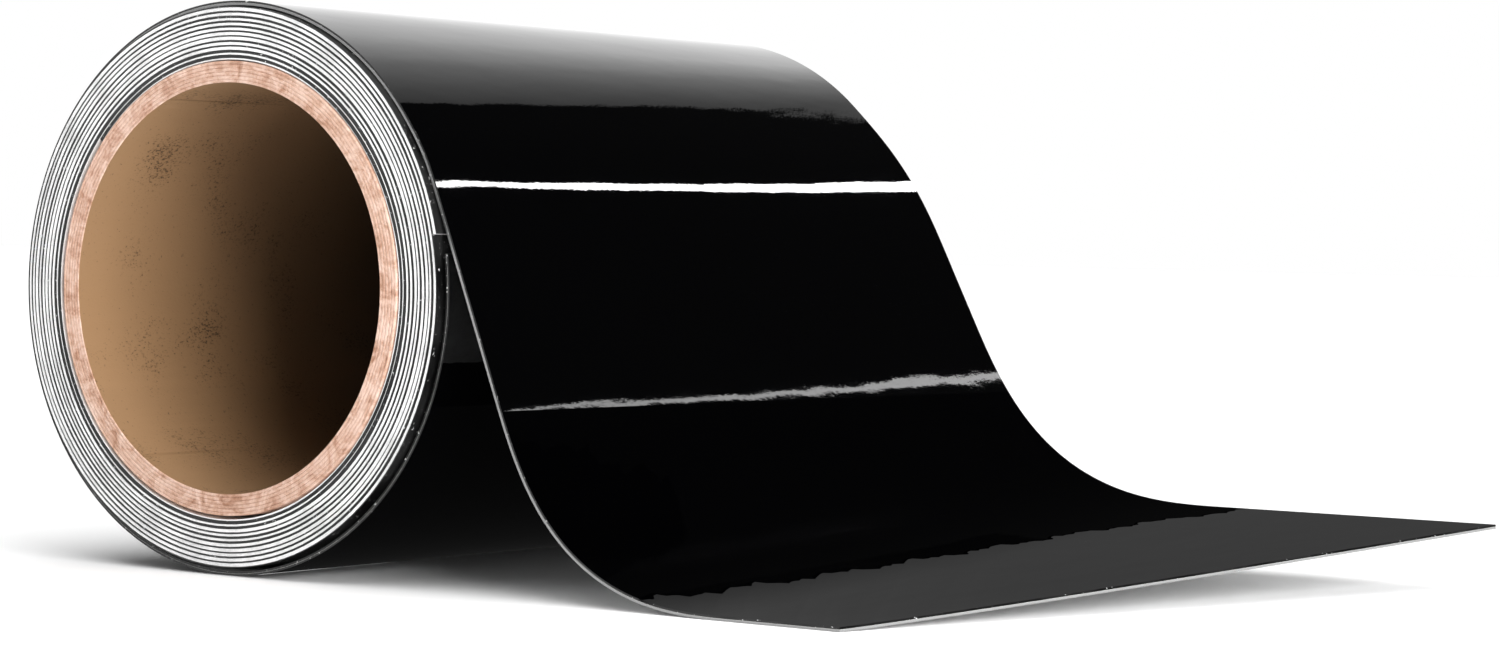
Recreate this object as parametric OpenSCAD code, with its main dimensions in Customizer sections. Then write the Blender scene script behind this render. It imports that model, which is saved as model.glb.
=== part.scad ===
// Roll of self-adhesive sign vinyl on a paperboard core, with its free end laid out flat.
// Origin: centre of the core bore. +Y runs along the roll, +X towards the free end, +Z up.
// The web is film over adhesive over release liner, with the film on the outside of the roll.

/* [Core] */

// Inside diameter of the core tube
core_bore = 76.2; // [60:0.1:92]
// Wall of the core tube
core_wall = 4; // [3:0.1:6]
// Thickness of the innermost ply and of the outermost ply
skin_ply = 0.6; // [0.4:0.05:0.8]

/* [Web] */

// Width of the web, and length of the core
web_width = 152.4; // [100:0.1:320]
// Thickness of the vinyl film
film_thickness = 0.16; // [0.08:0.01:0.24]
// Thickness of the adhesive coat
adhesive_thickness = 0.04; // [0.02:0.01:0.08]
// Thickness of the release liner
liner_thickness = 0.62; // [0.3:0.01:0.8]
// Air between one wrap and the next
wrap_gap = 0.08; // [0.06:0.01:0.16]
// Turns wound on the core, below the outermost turn
wound_turns = 10.35; // [4:0.05:16]

/* [Starter tape] */

// Thickness of the tape that holds the inner end of the web
tape_thickness = 0.08; // [0.05:0.01:0.15]
// Length of that tape around the core
tape_length = 24; // [12:1:40]

/* [Free end] */

// Angle above the horizontal at which the web leaves the roll
leave_angle = 24; // [18:1:34]
// Radius of the bend that lays the web flat
bend_radius = 45; // [30:1:58]
// Flat web from the bend to the line where the film starts to peel
feed_length = 14.5; // [10:0.5:30]
// Flat web beyond that line, on the near edge
end_length = 13; // [6:0.5:60]
// How much longer the far edge is, as the end is cut askew
cut_skew = 47; // [0:1:80]
// Gap at a fold line, so the two sides can swing
fold_gap = 0.02; // [0.01:0.01:0.05]
// Gap at the release coat, under the film that peels
release_gap = 0.01; // [0.005:0.005:0.02]

/* [Hidden] */

$fn = 128;
steps = 90;
step_angle = 360 / steps;
slack = 0.005;

half_width = web_width / 2;
bore_radius = core_bore / 2;
core_radius = bore_radius + core_wall;
middle_ply = (core_wall - 2 * skin_ply) / 4;

film_top = liner_thickness + adhesive_thickness + film_thickness;
adhesive_top = liner_thickness + adhesive_thickness;
pitch = film_top + wrap_gap;

tape_inner = core_radius / cos(step_angle / 2) + slack;
tape_outer = tape_inner + tape_thickness;
tape_steps = round(tape_length / (core_radius * step_angle * PI / 180) / 2);
wound_start = tape_outer + slack;
wound_steps = round(wound_turns * steps);
wound_outer = wound_start + pitch * wound_steps / steps + film_top;

// The outermost turn is a plain ring of web, clear of the wound turns, so the roll can spin in it.
turn_inner = wound_outer + wrap_gap;
turn_outer = turn_inner + film_top;
lap_steps = ceil(acos(turn_inner / (turn_outer + wrap_gap)) / step_angle);
lap_angle = leave_angle - lap_steps * step_angle;
turn_steps = steps - lap_steps;
wound_start_angle = lap_angle + wound_steps * step_angle;

// The flat web lies on the same level as the lowest line of the outermost turn.
floor_level = min([for (k = [0:turn_steps]) turn_outer * sin(lap_angle - k * step_angle)]);

// Straight drop from the roll, then the bend, then the flat.
leave_x = turn_inner * cos(leave_angle);
leave_z = turn_inner * sin(leave_angle);
bend_z = floor_level + bend_radius * (1 - sin(leave_angle));
drop_length = (leave_z - bend_z) / cos(leave_angle);
bend_x = leave_x + drop_length * sin(leave_angle);
centre_x = bend_x + bend_radius * cos(leave_angle);
centre_z = floor_level + bend_radius;
bend_steps = 22;

flat_x = centre_x + fold_gap;
peel_x = centre_x + feed_length;
end_x = peel_x + fold_gap;
near_x = peel_x + end_length;
far_x = near_x + cut_skew;

film_color = [0.03, 0.03, 0.035];
adhesive_color = [0.8, 0.8, 0.78];
liner_color = [0.93, 0.93, 0.9];
tape_color = [0.9, 0.86, 0.72];
skin_color = [0.62, 0.47, 0.32];
ply_color = [0.8, 0.68, 0.58];

function polar(r, a) = [r * cos(a), r * sin(a)];

// One edge of the spiral, at a height above the underside of the web.
function spiral(height) = [
  for (k = [0:wound_steps])
    polar(wound_start + height + pitch * k / steps, wound_start_angle - k * step_angle)
];

// One edge of the outermost turn and of the web that runs down from it.
function turn_edge(height) = [
  for (k = [0:turn_steps]) polar(turn_inner + height, lap_angle - k * step_angle)
];
function bend_edge(height) = [
  for (k = [0:bend_steps])
    [centre_x, centre_z] + polar(bend_radius - height, 180 + leave_angle + (90 - leave_angle) * k / bend_steps)
];
function lead_edge(height) = concat(turn_edge(height), bend_edge(height));

function backwards(points) = [for (k = [len(points) - 1:-1:0]) points[k]];

// Runs a section in the X-Z plane across the full width of the web.
module across() {
  translate([0, half_width, 0])
    rotate([90, 0, 0])
      linear_extrude(web_width)
        children();
}

module ply(inner, outer) {
  across()
    difference() {
      circle(r = outer);
      circle(r = inner);
    }
}

module wound_layer(bottom, top) {
  across()
    polygon(concat(spiral(bottom), backwards(spiral(top))));
}

module lead_layer(bottom, top) {
  across()
    polygon(concat(lead_edge(bottom), backwards(lead_edge(top))));
}

module tail_layer(bottom, top) {
  translate([0, 0, floor_level + bottom])
    linear_extrude(top - bottom)
      polygon([
        [flat_x, -half_width], [peel_x, -half_width],
        [peel_x, half_width], [flat_x, half_width]
      ]);
}

module end_layer(bottom, top) {
  translate([0, 0, floor_level + bottom])
    linear_extrude(top - bottom)
      polygon([
        [end_x, -half_width], [near_x, -half_width],
        [far_x, half_width], [end_x, half_width]
      ]);
}

module core_inner_ply() {
  color(skin_color)
    ply(bore_radius, bore_radius + skin_ply);
}

module core_ply_2() {
  color(ply_color)
    ply(bore_radius + skin_ply, bore_radius + skin_ply + middle_ply);
}

module core_ply_3() {
  color(ply_color)
    ply(bore_radius + skin_ply + middle_ply, bore_radius + skin_ply + 2 * middle_ply);
}

module core_ply_4() {
  color(ply_color)
    ply(bore_radius + skin_ply + 2 * middle_ply, bore_radius + skin_ply + 3 * middle_ply);
}

module core_ply_5() {
  color(ply_color)
    ply(bore_radius + skin_ply + 3 * middle_ply, core_radius - skin_ply);
}

module core_outer_ply() {
  color(skin_color)
    ply(core_radius - skin_ply, core_radius);
}

module starter_tape() {
  color(tape_color)
    across()
      polygon(concat(
        [for (k = [-tape_steps:tape_steps]) polar(tape_inner, wound_start_angle - k * step_angle)],
        [for (k = [tape_steps:-1:-tape_steps]) polar(tape_outer, wound_start_angle - k * step_angle)]
      ));
}

module wound_liner() {
  color(liner_color)
    wound_layer(0, liner_thickness);
}

module wound_adhesive() {
  color(adhesive_color)
    wound_layer(liner_thickness, adhesive_top);
}

module wound_film() {
  color(film_color)
    wound_layer(adhesive_top, film_top);
}

module lead_liner() {
  color(liner_color)
    lead_layer(0, liner_thickness);
}

module lead_adhesive() {
  color(adhesive_color)
    lead_layer(liner_thickness, adhesive_top);
}

module lead_film() {
  color(film_color)
    lead_layer(adhesive_top, film_top);
}

module tail_liner() {
  color(liner_color)
    tail_layer(0, liner_thickness);
}

module tail_adhesive() {
  color(adhesive_color)
    tail_layer(liner_thickness, adhesive_top);
}

module tail_film() {
  color(film_color)
    tail_layer(adhesive_top, film_top);
}

module end_liner() {
  color(liner_color)
    end_layer(0, liner_thickness - release_gap);
}

module end_adhesive() {
  color(adhesive_color)
    end_layer(liner_thickness, adhesive_top);
}

module end_film() {
  color(film_color)
    end_layer(adhesive_top, film_top);
}

core_inner_ply();
core_ply_2();
core_ply_3();
core_ply_4();
core_ply_5();
core_outer_ply();
starter_tape();
wound_liner();
wound_adhesive();
wound_film();
lead_liner();
lead_adhesive();
lead_film();
tail_liner();
tail_adhesive();
tail_film();
end_liner();
end_adhesive();
end_film();
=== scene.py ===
"""Roll of sign vinyl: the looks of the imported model, in metres, in the model's own frame.

The web is drawn as continuous sheets of film, adhesive and liner, split only where the bodies
part. On the near edge it lies on the table, and towards the far edge its free end lifts a little.
"""
import math

import bpy
import numpy as np
from mathutils import Matrix, Vector

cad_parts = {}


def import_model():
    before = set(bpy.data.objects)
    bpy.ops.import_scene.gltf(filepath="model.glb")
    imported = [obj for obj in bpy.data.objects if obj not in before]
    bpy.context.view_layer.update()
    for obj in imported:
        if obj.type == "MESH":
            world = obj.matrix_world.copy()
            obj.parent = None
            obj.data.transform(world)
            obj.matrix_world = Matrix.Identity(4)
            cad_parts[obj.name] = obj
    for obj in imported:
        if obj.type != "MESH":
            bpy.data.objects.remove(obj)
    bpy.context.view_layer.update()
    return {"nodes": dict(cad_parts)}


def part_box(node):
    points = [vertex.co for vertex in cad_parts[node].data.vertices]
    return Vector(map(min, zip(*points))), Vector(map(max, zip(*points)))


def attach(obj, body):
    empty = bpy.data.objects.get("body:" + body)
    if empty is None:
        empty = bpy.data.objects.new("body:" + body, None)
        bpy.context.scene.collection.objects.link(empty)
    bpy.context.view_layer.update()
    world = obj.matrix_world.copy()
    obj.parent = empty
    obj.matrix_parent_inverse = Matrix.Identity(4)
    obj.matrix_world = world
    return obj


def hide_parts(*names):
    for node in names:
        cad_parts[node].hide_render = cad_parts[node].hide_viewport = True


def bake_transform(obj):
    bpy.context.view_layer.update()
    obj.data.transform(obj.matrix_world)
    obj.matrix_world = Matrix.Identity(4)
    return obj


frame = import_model()

MM = 0.001

# ---------------------------------------------------------------- sizes read from the frame

low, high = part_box("tail_liner")
HALF_WIDTH = high[1]
FLOOR = low[2]
LINER_TOP = high[2] - low[2]
ADHESIVE_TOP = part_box("tail_adhesive")[1][2] - FLOOR
FILM_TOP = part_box("tail_film")[1][2] - FLOOR
FOLD_X = low[0]
PEEL_X = high[0]
FAR_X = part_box("end_liner")[1][0]
TURN_OUTER = -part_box("lead_film")[0][0]
TURN_INNER = TURN_OUTER - FILM_TOP
SKIN_PLY = 0.6 * MM
BORE_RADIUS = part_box("core_inner_ply")[1][2] - SKIN_PLY
CORE_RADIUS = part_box("core_outer_ply")[1][2]

# ---------------------------------------------------------------- sizes of the web

WRAP_GAP = 0.08 * MM
PITCH = FILM_TOP + WRAP_GAP
WOUND_TURNS = 932 / 90
WOUND_END = math.radians(12)
TAPE_ROOM = 0.115 * MM
WOUND_START_RADIUS = CORE_RADIUS + TAPE_ROOM
NEAR_LENGTH = 13 * MM
NEAR_X = PEEL_X + NEAR_LENGTH

# The path of the free web on its near and far edge. It lifts off the roll, eases out to its
# steepest drop, then bends round to lie flat. The far edge of its free end stands a little proud.
LAP_ANGLE = math.radians(8)
LIFT_OFF = (math.radians(37.4), math.radians(47.5))
STEEPEST = (math.radians(21.8), math.radians(27.7))
EASE_LENGTH = (15.8 * MM, 39.6 * MM)
BEND_LENGTH = (69 * MM, 76.4 * MM)
FAR_LIFT = 11.4 * MM
LIFT_POWER = 1.1

# Where the sheets part.
FEED_X = FOLD_X + 1.6 * MM
PEEL_CUT = 0.005 * MM

rng = np.random.default_rng(7)


def mix(pair, t):
    return pair[0] + (pair[1] - pair[0]) * t


# ---------------------------------------------------------------- mesh helpers

def new_object(name, points, faces, material, smooth_angle=35):
    mesh = bpy.data.meshes.new(name)
    mesh.from_pydata([tuple(p) for p in points], [], [tuple(f) for f in faces])
    mesh.validate()
    mesh.update()
    mesh.polygons.foreach_set("use_smooth", np.ones(len(mesh.polygons), bool))
    mesh.set_sharp_from_angle(angle=math.radians(smooth_angle))
    mesh.materials.append(material)
    piece = bpy.data.objects.new(name, mesh)
    bpy.context.scene.collection.objects.link(piece)
    return piece


def closed_sheet(name, under, over, material, edge=None):
    """A closed solid between two grids of points, each [along][across][xyz]."""
    rows, columns = under.shape[:2]
    count = rows * columns
    points = np.concatenate([under.reshape(-1, 3), over.reshape(-1, 3)])
    i, j = np.meshgrid(np.arange(rows - 1), np.arange(columns - 1), indexing="ij")
    a = (i * columns + j).ravel()
    b = a + 1
    c = a + columns + 1
    d = a + columns
    faces = [np.stack([a, b, c, d], 1), np.stack([d, c, b, a], 1) + count]
    near = np.arange(rows - 1) * columns
    far = near + columns - 1
    faces.append(np.stack([near, near + columns, near + columns + count, near + count], 1))
    faces.append(np.stack([far + columns, far, far + count, far + columns + count], 1))
    start = np.arange(columns - 1)
    end = start + (rows - 1) * columns
    faces.append(np.stack([start + 1, start, start + count, start + count + 1], 1))
    faces.append(np.stack([end, end + 1, end + count + 1, end + count], 1))
    sheet = new_object(name, points, np.concatenate(faces), material)
    if edge is not None:
        sheet.data.materials.append(edge)
        sides = np.arange(len(sheet.data.polygons)) >= 2 * (rows - 1) * (columns - 1)
        sheet.data.polygons.foreach_set("material_index", sides.astype(int))
    return sheet


# ---------------------------------------------------------------- the path of the free web

COLUMNS = 41
TURN_ROWS = 240
FREE_ROWS = 220
FLAT_ROWS = 60
ACROSS = np.linspace(0, 1, COLUMNS)
FREE_STEP = 0.2 * MM
FREE_REACH = 400 * MM
LONGEST_DROP = 120 * MM
HALVINGS = 40


def smooth(t):
    t = np.clip(t, 0, 1)
    return t * t * (3 - 2 * t)


def free_path(across):
    """The liner's underside from where it leaves the roll, as x and z at every FREE_STEP.

    The heading is the angle from straight down towards +X. The straight stretch before the bend
    takes up whatever height is left."""
    lift_off = mix(LIFT_OFF, across)
    steepest = mix(STEEPEST, across)
    ease_length = mix(EASE_LENGTH, across)
    bend_length = mix(BEND_LENGTH, across)
    ground = FLOOR + FAR_LIFT * across ** LIFT_POWER
    x = TURN_INNER * math.cos(lift_off)
    z = TURN_INNER * math.sin(lift_off)
    along = np.arange(0, FREE_REACH, FREE_STEP)

    def heading(straight):
        eased = steepest + (lift_off - steepest) * (1 - smooth(along / ease_length))
        return eased + (math.pi / 2 - steepest) * smooth((along - straight) / bend_length)

    def drop(straight):
        return np.sum(np.cos(heading(straight))) * FREE_STEP

    short, long = 0.0, LONGEST_DROP
    for _ in range(HALVINGS):
        straight = (short + long) / 2
        if drop(straight) < z - ground:
            short = straight
        else:
            long = straight
    angle = heading(straight)
    xs = x + np.concatenate([[0], np.cumsum(np.sin(angle[:-1])) * FREE_STEP])
    zs = z - np.concatenate([[0], np.cumsum(np.cos(angle[:-1])) * FREE_STEP])
    return xs, zs, angle


PATHS = [free_path(across) for across in ACROSS]


def row(across, xs, zs, angles, height):
    """Points at a height over the underside of the web, at one place across it."""
    y = np.full(len(xs), -HALF_WIDTH + 2 * HALF_WIDTH * across)
    return np.stack([xs + np.cos(angles) * height, y, zs + np.sin(angles) * height], 1)


def lead_grid(height):
    """The outermost turn, the drop, the bend and the flat as far as FEED_X."""
    grid = []
    for across, (xs, zs, angles) in zip(ACROSS, PATHS):
        lift_off = mix(LIFT_OFF, across)
        turn = LAP_ANGLE + (lift_off - 2 * math.pi - LAP_ANGLE) * np.arange(TURN_ROWS) / TURN_ROWS
        last = np.interp(FEED_X, xs, np.arange(len(xs)))
        places = np.linspace(0, last, FREE_ROWS)
        steps = np.arange(len(xs))
        x = np.concatenate([TURN_INNER * np.cos(turn), np.interp(places, steps, xs)])
        z = np.concatenate([TURN_INNER * np.sin(turn), np.interp(places, steps, zs)])
        angle = np.concatenate([turn, np.interp(places, steps, angles)])
        grid.append(row(across, x, z, angle, height))
    return np.stack(grid, 1)


def flat_grid(start, near_end, far_end, height):
    """The flat from x = start to a straight cut between near_end and far_end."""
    grid = []
    for across, (xs, zs, angles) in zip(ACROSS, PATHS):
        x = start + (mix((near_end, far_end), across) - start) * np.linspace(0, 1, FLAT_ROWS)
        grid.append(row(across, x, np.interp(x, xs, zs), np.interp(x, xs, angles), height))
    return np.stack(grid, 1)


# ---------------------------------------------------------------- materials

def material(name):
    made = bpy.data.materials.new(name)
    made.use_nodes = True
    tree = made.node_tree
    tree.nodes.clear()
    out = tree.nodes.new("ShaderNodeOutputMaterial")
    shader = tree.nodes.new("ShaderNodeBsdfPrincipled")
    tree.links.new(shader.outputs[0], out.inputs[0])
    return made, tree, shader


def node(tree, kind, values=None, links=None, **settings):
    made = tree.nodes.new(kind)
    for key, value in settings.items():
        setattr(made, key, value)
    for key, value in (values or {}).items():
        made.inputs[key].default_value = value
    for key, source in (links or {}).items():
        tree.links.new(source, made.inputs[key])
    return made


def position(tree, scale=(1, 1, 1)):
    """Object coordinates, scaled. They stay with the piece when it moves."""
    source = node(tree, "ShaderNodeTexCoord").outputs["Object"]
    return node(tree, "ShaderNodeMapping", {"Scale": scale}, {"Vector": source}).outputs[0]


def noise(tree, vector, scale, detail=4.0, roughness=0.55, distortion=0.0):
    return node(
        tree, "ShaderNodeTexNoise",
        {"Scale": scale, "Detail": detail, "Roughness": roughness, "Distortion": distortion},
        {"Vector": vector},
    ).outputs[0]


def ramp(tree, factor, stops):
    made = node(tree, "ShaderNodeValToRGB", links={"Fac": factor})
    elements = made.color_ramp.elements
    while len(elements) < len(stops):
        elements.new(0.5)
    for element, (place, colour) in zip(elements, stops):
        element.position = place
        element.color = (*colour, 1) if len(colour) == 3 else colour
    return made.outputs[0]


def bump(tree, shader, height, strength, distance):
    values = {"Strength": strength, "Distance": distance}
    made = node(tree, "ShaderNodeBump", values, {"Height": height})
    tree.links.new(made.outputs[0], shader.inputs["Normal"])


def grey(v):
    return (v, v, v)


def add_scaled(tree, fine, share, broad):
    """The value of broad, plus a share of fine."""
    links = {0: fine, 2: broad}
    return node(tree, "ShaderNodeMath", {1: share}, links, operation="MULTIPLY_ADD").outputs[0]


def blend_colour(tree, factor, below, above):
    """The colour below, which gives way to the fixed colour above as factor rises."""
    made = node(
        tree, "ShaderNodeMix", {"B": (*above, 1)}, {"Factor": factor, "A": below}, data_type="RGBA",
    )
    return made.outputs["Result"]


def span_share(tree, value, start, end):
    """A share that rises from 0 to 1 as value goes from start to end."""
    return node(
        tree, "ShaderNodeMapRange", {"From Min": start, "From Max": end}, {"Value": value},
    ).outputs[0]


def film_material():
    made, tree, shader = material("gloss_black_film")
    at = position(tree)
    shader.inputs["Base Color"].default_value = (0.0003, 0.0003, 0.0004, 1)
    shader.inputs["Specular IOR Level"].default_value = 0.5
    smear = noise(tree, at, 60, 3, 0.5)
    rough = node(
        tree, "ShaderNodeMapRange",
        {"From Min": 0.3, "From Max": 0.7, "To Min": 0.015, "To Max": 0.04}, {"Value": smear},
    ).outputs[0]
    tree.links.new(rough, shader.inputs["Roughness"])
    fine = noise(tree, at, 1100, 2, 0.6)
    broad = noise(tree, position(tree, (1, 0.35, 1)), 60, 3, 0.5)
    bump(tree, shader, add_scaled(tree, fine, 0.035, broad), 0.25, 0.6 * MM)
    return made


def edge_film_material():
    """Film seen edge on in the wound roll: dark grey, with pale specks of liner dust."""
    made, tree, shader = material("film_cut_edge")
    at = position(tree)
    shade = noise(tree, at, 90, 3, 0.6)
    dust = noise(tree, at, 1400, 2, 0.6)
    base = ramp(tree, shade, [(0.35, grey(0.002)), (0.62, grey(0.014))])
    specks = ramp(tree, dust, [(0.67, grey(0.0)), (0.75, grey(1.0))])
    tree.links.new(blend_colour(tree, specks, base, grey(0.6)), shader.inputs["Base Color"])
    shader.inputs["Roughness"].default_value = 0.45
    bump(tree, shader, dust, 0.3, 0.1 * MM)
    return made


def liner_material():
    made, tree, shader = material("release_liner")
    at = position(tree)
    cloud = noise(tree, at, 130, 4, 0.6)
    fibre = noise(tree, at, 2200, 3, 0.6)
    both = add_scaled(tree, fibre, 0.35, cloud)
    colour = ramp(tree, both, [(0.45, grey(0.6)), (0.75, grey(0.85))])
    tree.links.new(colour, shader.inputs["Base Color"])
    shader.inputs["Roughness"].default_value = 0.5
    bump(tree, shader, fibre, 0.25, 0.06 * MM)
    return made


def liner_edge_material():
    """Cut edge of the free liner: pale where it is free and high on the roll, and dark with pale dust
    specks lower round the turn.
    """
    made, tree, shader = material("liner_cut_edge")
    at = position(tree)
    split = node(tree, "ShaderNodeSeparateXYZ", links={"Vector": at})
    x, z = split.outputs["X"], split.outputs["Z"]
    flat = node(tree, "ShaderNodeCombineXYZ", links={"X": x, "Y": z}).outputs[0]
    radius = node(tree, "ShaderNodeVectorMath", links={0: flat}, operation="LENGTH").outputs["Value"]
    free = span_share(tree, radius, TURN_OUTER, TURN_OUTER + 1.5 * MM)
    upper = span_share(tree, z, 10 * MM, 28 * MM)
    pale = node(tree, "ShaderNodeMath", links={0: free, 1: upper}, operation="MAXIMUM").outputs[0]
    # Dark below the top of the turn, with pale dust specks.
    dust = ramp(tree, noise(tree, at, 1300, 2, 0.6), [(0.63, grey(0.004)), (0.7, grey(0.6))])
    tree.links.new(blend_colour(tree, pale, dust, grey(0.24)), shader.inputs["Base Color"])
    shader.inputs["Roughness"].default_value = 0.5
    return made


def adhesive_material():
    made, tree, shader = material("adhesive")
    cloud = noise(tree, position(tree), 400, 3, 0.6)
    colour = ramp(tree, cloud, [(0.35, (0.36, 0.36, 0.35)), (0.7, (0.55, 0.55, 0.53))])
    tree.links.new(colour, shader.inputs["Base Color"])
    shader.inputs["Roughness"].default_value = 0.3
    bump(tree, shader, cloud, 0.2, 0.05 * MM)
    return made


def paperboard_material(name, light, middle, dark):
    """Cut edge of the core: mottled pulp with pale and rusty fibres that run round the tube."""
    made, tree, shader = material(name)
    at = position(tree)
    clump = noise(tree, at, 210, 5, 0.68, 1.2)
    strand = noise(tree, position(tree, (1, 0.4, 1)), 900, 4, 0.7, 0.6)
    both = add_scaled(tree, strand, 0.45, clump)
    colour = ramp(tree, both, [(0.52, dark), (0.68, middle), (0.86, light)])
    tree.links.new(colour, shader.inputs["Base Color"])
    shader.inputs["Roughness"].default_value = 0.85
    bump(tree, shader, both, 0.6, 0.4 * MM)
    return made


def kraft_material():
    """Lining of the bore: brown kraft paper with fine fibres and dark flecks, with painted shade that
    darkens it deep inside.
    """
    made, tree, shader = material("kraft_lining")
    at = position(tree)
    cloud = noise(tree, at, 60, 2, 0.5)
    fibre = noise(tree, position(tree, (1, 0.6, 1)), 2300, 3, 0.7)
    fleck = noise(tree, at, 1500, 2, 0.5)
    both = add_scaled(tree, fibre, 1.3, cloud)
    base = ramp(tree, both, [(0.82, (0.066, 0.036, 0.016)), (1.1, (0.258, 0.149, 0.073))])
    spots = ramp(tree, fleck, [(0.26, grey(1.0)), (0.31, grey(0.0))])
    speckled = blend_colour(tree, spots, base, (0.12, 0.07, 0.035))
    # Painted shade: the colour darkens along Y with depth into the bore, where less light reaches, and
    # lightens again at the far lip.
    along = node(tree, "ShaderNodeSeparateXYZ", links={"Vector": at}).outputs["Y"]
    shade = ramp(tree, span_share(tree, along, -HALF_WIDTH, HALF_WIDTH), [
        (0.2, grey(1.0)), (0.32, grey(0.85)), (0.395, grey(0.66)),
        (0.467, grey(0.52)), (0.535, grey(0.38)), (0.605, grey(0.3)),
        (0.68, grey(0.25)), (0.83, grey(0.25)), (1.0, grey(0.8)),
    ])
    with_painted_shade = node(
        tree, "ShaderNodeMix", {"Factor": 1.0}, {"A": speckled, "B": shade},
        data_type="RGBA", blend_type="MULTIPLY",
    )
    tree.links.new(with_painted_shade.outputs["Result"], shader.inputs["Base Color"])
    shader.inputs["Roughness"].default_value = 0.7
    bump(tree, shader, fibre, 0.35, 0.15 * MM)
    return made


def tape_material():
    made, tree, shader = material("paper_tape")
    crepe = noise(tree, position(tree, (1, 0.2, 1)), 900, 3, 0.6)
    colour = ramp(tree, crepe, [(0.3, (0.62, 0.55, 0.38)), (0.7, (0.8, 0.74, 0.56))])
    tree.links.new(colour, shader.inputs["Base Color"])
    shader.inputs["Roughness"].default_value = 0.75
    bump(tree, shader, crepe, 0.4, 0.1 * MM)
    return made


FILM = film_material()
FILM_EDGE = edge_film_material()
LINER = liner_material()
LINER_EDGE = liner_edge_material()
ADHESIVE = adhesive_material()
BOARD = paperboard_material("paperboard", (0.72, 0.52, 0.43), (0.56, 0.35, 0.26), (0.36, 0.18, 0.11))
KRAFT = kraft_material()
TAPE = tape_material()


# ---------------------------------------------------------------- the wound turns

def wander(angle, waves):
    """A smooth wander along the web, from -1 to 1, as a sum of waves (turns, phase)."""
    total = sum(math.sin(angle * cycles + phase) for cycles, phase in waves)
    return total / len(waves)


def make_waves(cycles):
    return [(c, rng.uniform(0, 2 * math.pi)) for c in cycles]


LINER_WAVES = make_waves((0.37, 0.83, 1.31, 2.3, 5.1))
FILM_WAVES = make_waves((0.29, 0.71, 1.7, 3.3, 7.9))
INSET_WAVES = make_waves((0.19, 0.43, 0.91, 1.9, 4.3))


# The core and the wound turns stand out at the near end by this much.
TELESCOPE = 1.5 * MM

STEPS_A_TURN = 120
LINER_LOSS = 0.12 * MM
LINER_SWING = 0.22 * MM
THINNEST_LINER = 0.06 * MM
FILM_LOSS = 0.012 * MM
FILM_SWING = 0.05 * MM
ADHESIVE_COAT = 0.04 * MM
THINNEST_FILM = 0.05 * MM
INSETS = {"liner": 0.05 * MM, "adhesive": 0.09 * MM, "film": 0.02 * MM}
INSET_SWING = 0.3 * MM


def crush(turned, angle):
    """How much thinner the liner is in the first two turns. It is pressed hardest at the two sides."""
    turns = turned / (2 * math.pi)
    beside = smooth((abs(math.cos(angle)) - 0.3) / 0.4)
    least = 0.2 * MM
    most = 0.46 * MM if math.cos(angle) < 0 else 0.38 * MM
    depth = mix((least, most), beside)
    return depth * (1 - smooth((turns - 1.8) / 0.3))


def wound_layer(name, layer, surface):
    """One layer of the spiral. Its edges stand in by a hair that wanders along the web."""
    steps = round(WOUND_TURNS * STEPS_A_TURN)
    start = WOUND_END + WOUND_TURNS * 2 * math.pi
    under, over = [], []
    for k in range(steps + 1):
        turned = WOUND_TURNS * 2 * math.pi * k / steps
        angle = start - turned
        base = WOUND_START_RADIUS + PITCH * turned / (2 * math.pi)
        liner_top = LINER_TOP - LINER_LOSS + LINER_SWING * wander(turned, LINER_WAVES)
        liner_top = max(liner_top - crush(turned, angle), THINNEST_LINER)
        film_top = FILM_TOP + FILM_SWING * wander(turned, FILM_WAVES) - FILM_LOSS
        adhesive_top = min(liner_top + ADHESIVE_COAT, film_top - THINNEST_FILM)
        heights = {
            "liner": (0, liner_top),
            "adhesive": (liner_top, adhesive_top),
            "film": (adhesive_top, film_top),
        }
        inset = INSETS[layer] + INSET_SWING * (1 + wander(turned, INSET_WAVES)) / 2
        for grid, height in zip((under, over), heights[layer]):
            radius = base + height
            x, z = radius * math.cos(angle), radius * math.sin(angle)
            near, far = -HALF_WIDTH + inset, HALF_WIDTH - inset
            grid.append([(x, near - TELESCOPE, z), (x, far - TELESCOPE, z)])
    piece = closed_sheet(name, np.array(under), np.array(over), surface)
    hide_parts(f"wound_{layer}")
    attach(piece, "roll")
    return piece


for layer, surface, slot in (
    ("liner", LINER, "release_liner"),
    ("adhesive", ADHESIVE, "adhesive"),
    ("film", FILM_EDGE, "vinyl_film"),
):
    wound_layer(f"wound_web_{layer}", layer, surface)


# ---------------------------------------------------------------- the free web

# Along the free web the film's cut edge laps down over the liner's, so the liner shows thinner.
EDGE_LAP = 0.22 * MM
LAYERS = (
    ("liner", 0.0, LINER_TOP - EDGE_LAP, LINER, "release_liner"),
    ("adhesive", LINER_TOP - EDGE_LAP, ADHESIVE_TOP - EDGE_LAP, ADHESIVE, "adhesive"),
    ("film", ADHESIVE_TOP - EDGE_LAP, FILM_TOP, FILM, "vinyl_film"),
)
WIDTH = 2 * HALF_WIDTH

for layer, bottom, top, surface, slot in LAYERS:
    edge = {"liner": LINER_EDGE, "adhesive": None, "film": FILM_EDGE}[layer]
    lead = closed_sheet(f"lead_web_{layer}", lead_grid(bottom), lead_grid(top), surface, edge)
    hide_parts(f"lead_{layer}")
    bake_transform(lead)

    feed = closed_sheet(
        f"feed_web_{layer}",
        flat_grid(FEED_X, PEEL_X, PEEL_X, bottom), flat_grid(FEED_X, PEEL_X, PEEL_X, top), surface, edge,
    )
    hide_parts(f"tail_{layer}")
    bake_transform(feed)

    start = PEEL_X + PEEL_CUT
    end = closed_sheet(
        f"end_web_{layer}",
        flat_grid(start, NEAR_X, FAR_X, bottom), flat_grid(start, NEAR_X, FAR_X, top), surface, edge,
    )
    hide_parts(f"end_{layer}")
    if layer == "liner":
        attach(end, "tail_end")
    else:
        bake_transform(end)


# ---------------------------------------------------------------- the core

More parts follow.
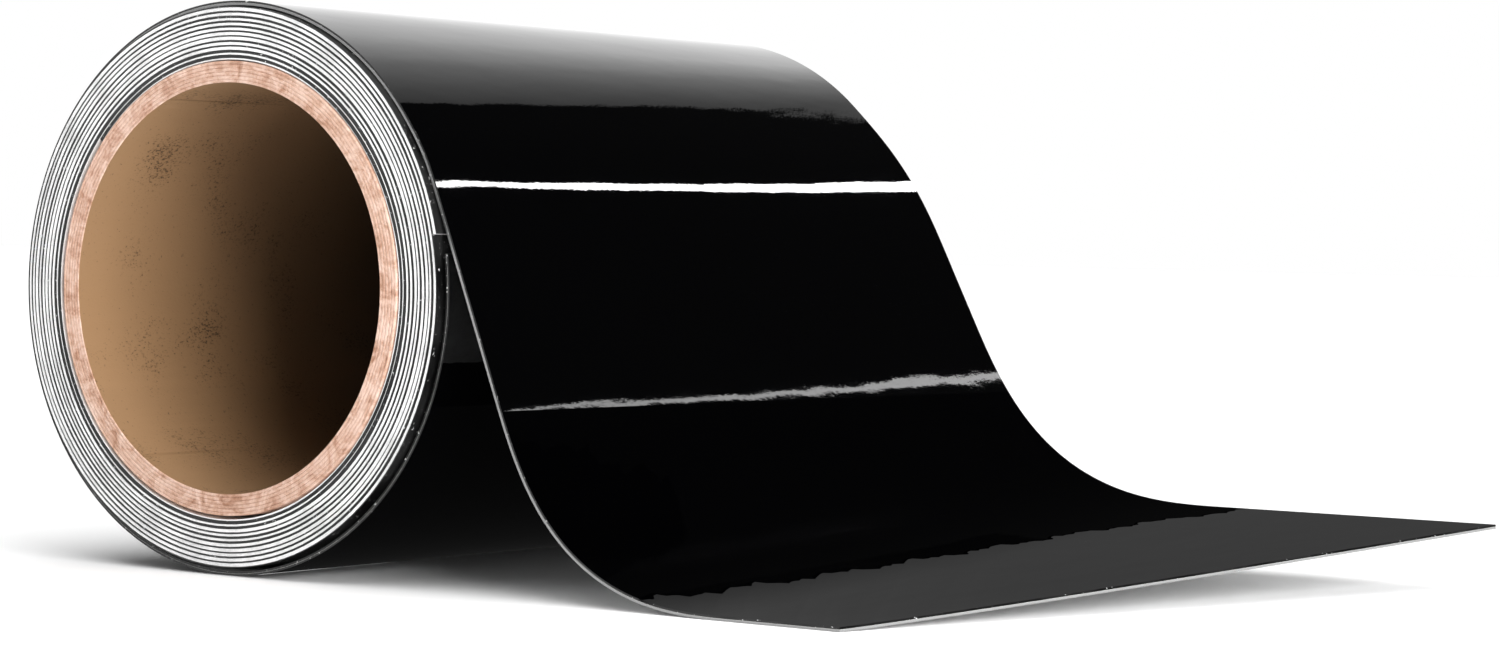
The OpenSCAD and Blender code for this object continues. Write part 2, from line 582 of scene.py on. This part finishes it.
def ply_ring(name, inner, outer, surface, edge_rise):
    """A ply as a turned tube, with softened and slightly uneven cut ends."""
    around = 360
    jag = 0.05 * MM
    soft = min(0.12 * MM, (outer - inner) / 4)
    across = np.linspace(inner + soft, outer - soft, 6)
    profile = [(inner, -1, soft)] + [(r, -1, 0.0) for r in across] + [(outer, -1, soft)]
    profile += [(outer, y, None) for y in (-0.5, 0.0, 0.5)]
    profile += [(outer, 1, soft)] + [(r, 1, 0.0) for r in across[::-1]] + [(inner, 1, soft)]
    profile += [(inner, y, None) for y in (0.5, 0.0, -0.5)]
    jitter = rng.uniform(0, 1, (len(profile), around))
    points = []
    for level, (radius, side, drop) in enumerate(profile):
        for k in range(around):
            angle = 2 * math.pi * k / around
            if drop is None:
                y = side * HALF_WIDTH
            else:
                y = side * (HALF_WIDTH - drop - edge_rise - jag * jitter[level][k])
            points.append((radius * math.cos(angle), y - TELESCOPE, radius * math.sin(angle)))
    faces = []
    for level in range(len(profile)):
        this = level * around
        below = (level + 1) % len(profile) * around
        for k in range(around):
            nxt = (k + 1) % around
            faces.append((this + k, this + nxt, below + nxt, below + k))
    return new_object(name, points, faces, surface, 50)


PLIES = (
    ("core_inner_ply", KRAFT, 0.02), ("core_ply_2", BOARD, 0.0), ("core_ply_3", BOARD, 0.015),
    ("core_ply_4", BOARD, 0.0), ("core_ply_5", BOARD, 0.02), ("core_outer_ply", BOARD, 0.0),
)
inner = BORE_RADIUS
for name, surface, rise in PLIES:
    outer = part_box(name)[1][2]
    piece = ply_ring(f"{name}_tube", inner, outer, surface, rise * MM)
    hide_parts(name)
    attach(piece, "roll")
    if name == "core_inner_ply":
        piece.data.materials.append(BOARD)
        for face in piece.data.polygons:
            if abs(face.normal.y) > 0.5:
                face.material_index = 1
    inner = outer

tape = frame["nodes"]["starter_tape"]
tape.data.materials.clear()
tape.data.materials.append(TAPE)


# ---------------------------------------------------------------- floor, lights and camera

def add_mesh(name, points, faces, surface):
    piece = new_object(name, points, faces, surface)
    return piece


def floor():
    made, tree, shader = material("pale_floor")
    shader.inputs["Base Color"].default_value = (0.93, 0.93, 0.93, 1)
    shader.inputs["Roughness"].default_value = 0.9
    shader.inputs["Specular IOR Level"].default_value = 0.1
    size = 6.0
    under_web = 0.02 * MM
    z = FLOOR - under_web
    corners = [(-size, -size, z), (size, -size, z), (size, size, z), (-size, size, z)]
    add_mesh("floor", corners, [(0, 1, 2, 3)], made).visible_glossy = False


def aim(made, place, target):
    bpy.context.scene.collection.objects.link(made)
    made.location = place
    made.rotation_euler = (Vector(target) - Vector(place)).to_track_quat("-Z", "Y").to_euler()


def area_light(name, place, target, size, power):
    data = bpy.data.lights.new(name, "AREA")
    data.shape = "RECTANGLE"
    data.size, data.size_y = size
    data.energy = power
    light = bpy.data.objects.new(name, data)
    aim(light, place, target)
    light.visible_glossy = False


def sun(name, place, strength, spread):
    data = bpy.data.lights.new(name, "SUN")
    data.energy = strength
    data.angle = math.radians(spread)
    light = bpy.data.objects.new(name, data)
    aim(light, place, (0, 0, 0))
    light.visible_glossy = False


def card(name, corners, stops, across_x=(0, 1), strength=1.0, rows=1):
    """A studio card that only gloss sees. Its tone goes along X between the two values of across_x.

    Its corners are one ring, or two rows of points that it spans."""
    made = bpy.data.materials.new(name)
    made.use_nodes = True
    tree = made.node_tree
    tree.nodes.clear()
    out = tree.nodes.new("ShaderNodeOutputMaterial")
    at = node(tree, "ShaderNodeTexCoord").outputs["Object"]
    split = node(tree, "ShaderNodeSeparateXYZ", links={"Vector": at})
    share = span_share(tree, split.outputs["X"], *across_x)
    glow = node(tree, "ShaderNodeEmission", {"Strength": strength}, {"Color": ramp(tree, share, stops)})
    tree.links.new(glow.outputs[0], out.inputs["Surface"])
    faces = [tuple(range(len(corners)))]
    if rows == 2:
        half = len(corners) // 2
        faces = [(k, k + 1, k + 1 + half, k + half) for k in range(half - 1)]
    piece = add_mesh(name, corners, faces, made)
    piece.visible_camera = False
    piece.visible_diffuse = False
    piece.visible_shadow = False
    piece.visible_transmission = False
    return piece


def world():
    """White to the eye, softer for diffuse light. In gloss, a pale sky over the back of the roll."""
    made = bpy.data.worlds.new("studio")
    bpy.context.scene.world = made
    made.use_nodes = True
    tree = made.node_tree
    tree.nodes.clear()
    out = node(tree, "ShaderNodeOutputWorld")
    path = node(tree, "ShaderNodeLightPath")
    direction = node(tree, "ShaderNodeTexCoord").outputs["Generated"]
    # The lower rim of the sky runs along the roll and dips away to the back.
    outward_axis = (0.702, 0.0, 0.712)
    upward_axis = (-0.631, -0.463, 0.622)
    outward, upward = (
        node(tree, "ShaderNodeVectorMath", {1: axis}, {0: direction}, operation="DOT_PRODUCT")
        for axis in (outward_axis, upward_axis)
    )
    sides = {0: upward.outputs["Value"], 1: outward.outputs["Value"]}
    angle = node(tree, "ShaderNodeMath", links=sides, operation="ARCTAN2").outputs[0]
    turned = node(tree, "ShaderNodeMath", {1: math.pi}, {0: angle}, operation="DIVIDE").outputs[0]
    sky = ramp(tree, turned, [
        (0.0, grey(0.008)), (0.0035, grey(0.17)), (0.02, grey(0.2)), (0.05, grey(0.25)),
        (0.09, grey(0.32)), (0.14, grey(0.39)), (0.19, grey(0.51)), (0.29, grey(0.62)),
        (0.39, grey(0.72)), (1.0, grey(0.62)),
    ])
    gloss = node(tree, "ShaderNodeBackground", {"Strength": 2.0}, {"Color": sky})
    fill = node(tree, "ShaderNodeBackground", {"Color": (1, 1, 1, 1), "Strength": 0.28})
    white = node(tree, "ShaderNodeBackground", {"Color": (1, 1, 1, 1), "Strength": 1.0})
    is_gloss, is_camera = path.outputs["Is Glossy Ray"], path.outputs["Is Camera Ray"]
    seen = node(tree, "ShaderNodeMixShader", links={0: is_gloss, 1: fill.outputs[0], 2: gloss.outputs[0]})
    both = node(tree, "ShaderNodeMixShader", links={0: is_camera, 1: seen.outputs[0], 2: white.outputs[0]})
    tree.links.new(both.outputs[0], out.inputs["Surface"])


def camera():
    data = bpy.data.cameras.new("camera")
    data.sensor_width = 36
    data.lens = 88.46
    made = bpy.data.objects.new("camera", data)
    bpy.context.scene.collection.objects.link(made)
    azimuth, down, tilt = math.radians(35.55), math.radians(1.54), math.radians(0.99)
    turn = Matrix.Rotation(azimuth, 4, "Z")
    turn = turn @ Matrix.Rotation(math.pi / 2 - down, 4, "X") @ Matrix.Rotation(tilt, 4, "Z")
    made.matrix_world = Matrix.Translation((0.47567, -0.57572, 0.01215)) @ turn
    bpy.context.scene.camera = made


floor()
world()
camera()
sun("sky_light", (0.1, 0.05, 1), 3.1, 80)
area_light("key", (0.9, -0.4, 0.15), (0, -0.076, 0), (0.55, 0.55), 14.0)

# A black card over the flat keeps the bend black.
BLACK_Z = -0.02
card(
    "black_card",
    [(-0.6, -0.3, BLACK_Z), (0.6, -0.3, BLACK_Z), (0.6, 1.2, BLACK_Z), (-0.6, 1.2, BLACK_Z)],
    [(0.0, grey(0.006)), (1.0, grey(0.006))],
)

# A grey card stands on the foot of the bend along a ragged line and leans back over it, with a
# black one behind. The flat mirrors the grey one, and the bend only the black one.
CARD_SLOPE = 1.2
CARD_SINK = 0.6 * MM
CARD_SETBACK = 0.6 * MM
CARD_ENDS = (-0.1, 0.2)
CARD_POINTS = 260
BLACK = [(0.0, grey(0.0)), (1.0, grey(0.0))]


def foot_of_bend(y):
    """Place on the film where the cards stand, as x and z."""
    across = min(max(0.5 + y / WIDTH, 0), 1)
    ragged = 1.5 * math.sin(300 * y + 1) + 1.1 * math.sin(830 * y)
    ragged += 0.7 * math.sin(1900 * y + 2) + 0.4 * math.sin(4100 * y)
    x = (98 + 27 * across + 9 * across ** 6 + 0.6 * ragged) * MM + max(y - HALF_WIDTH, 0) * 0.4
    xs, zs, _ = PATHS[round(across * (COLUMNS - 1))]
    return x, np.interp(x, xs, zs) + FILM_TOP - CARD_SINK


def leaning_card(name, setback, stops):
    foot, head = [], []
    for y in np.linspace(*CARD_ENDS, CARD_POINTS):
        x, z = foot_of_bend(y)
        foot.append((x - setback, y, z))
        head.append((x - setback - (BLACK_Z - z) / CARD_SLOPE, y, BLACK_Z))
    card(name, foot + head, stops, (0.07, 0.11), rows=2)


leaning_card("grey_card", 0.0, [
    (0.0, grey(0.2)), (0.4, grey(0.15)), (0.8, grey(0.11)), (1.0, grey(0.1)),
])
leaning_card("grey_card_back", CARD_SETBACK, BLACK)

# A disc deep in the bore keeps its depth dark.
STOPPER_RADIUS = 37.5 * MM
STOPPER_Y = 36 * MM
stopper_rim = [
    (STOPPER_RADIUS * math.cos(a), STOPPER_Y, STOPPER_RADIUS * math.sin(a))
    for a in np.linspace(0, 2 * math.pi, 48, endpoint=False)
]
card("bore_stopper", stopper_rim, BLACK).visible_diffuse = True

# The strips face a point on the axis of X, this far out, behind the drop of the web.
DROP_X = 60 * MM


def strip(name, ends, widths, strength):
    """A thin glowing strip that only gloss sees, facing the drop of the web."""
    a, b = (Vector(end) for end in ends)
    side = (b - a).cross(Vector((DROP_X, 0, 0)) - (a + b) / 2).normalized() / 2
    corners = [a - side * widths[0], a + side * widths[0], b + side * widths[1], b - side * widths[1]]
    card(name, corners, [(0.0, grey(1.0)), (1.0, grey(1.0))], strength=strength)


strip("bright_strip", ((0.0692, -0.055, 0.0386), (0.059, 0.118, 0.0442)), (0.0018, 0.0042), 22)
strip("dim_strip", ((0.0879, -0.056, -0.0032), (0.087, 0.116, 0.0045)), (0.0005, 0.0015), 4.5)

bpy.context.scene.view_settings.view_transform = "Standard"
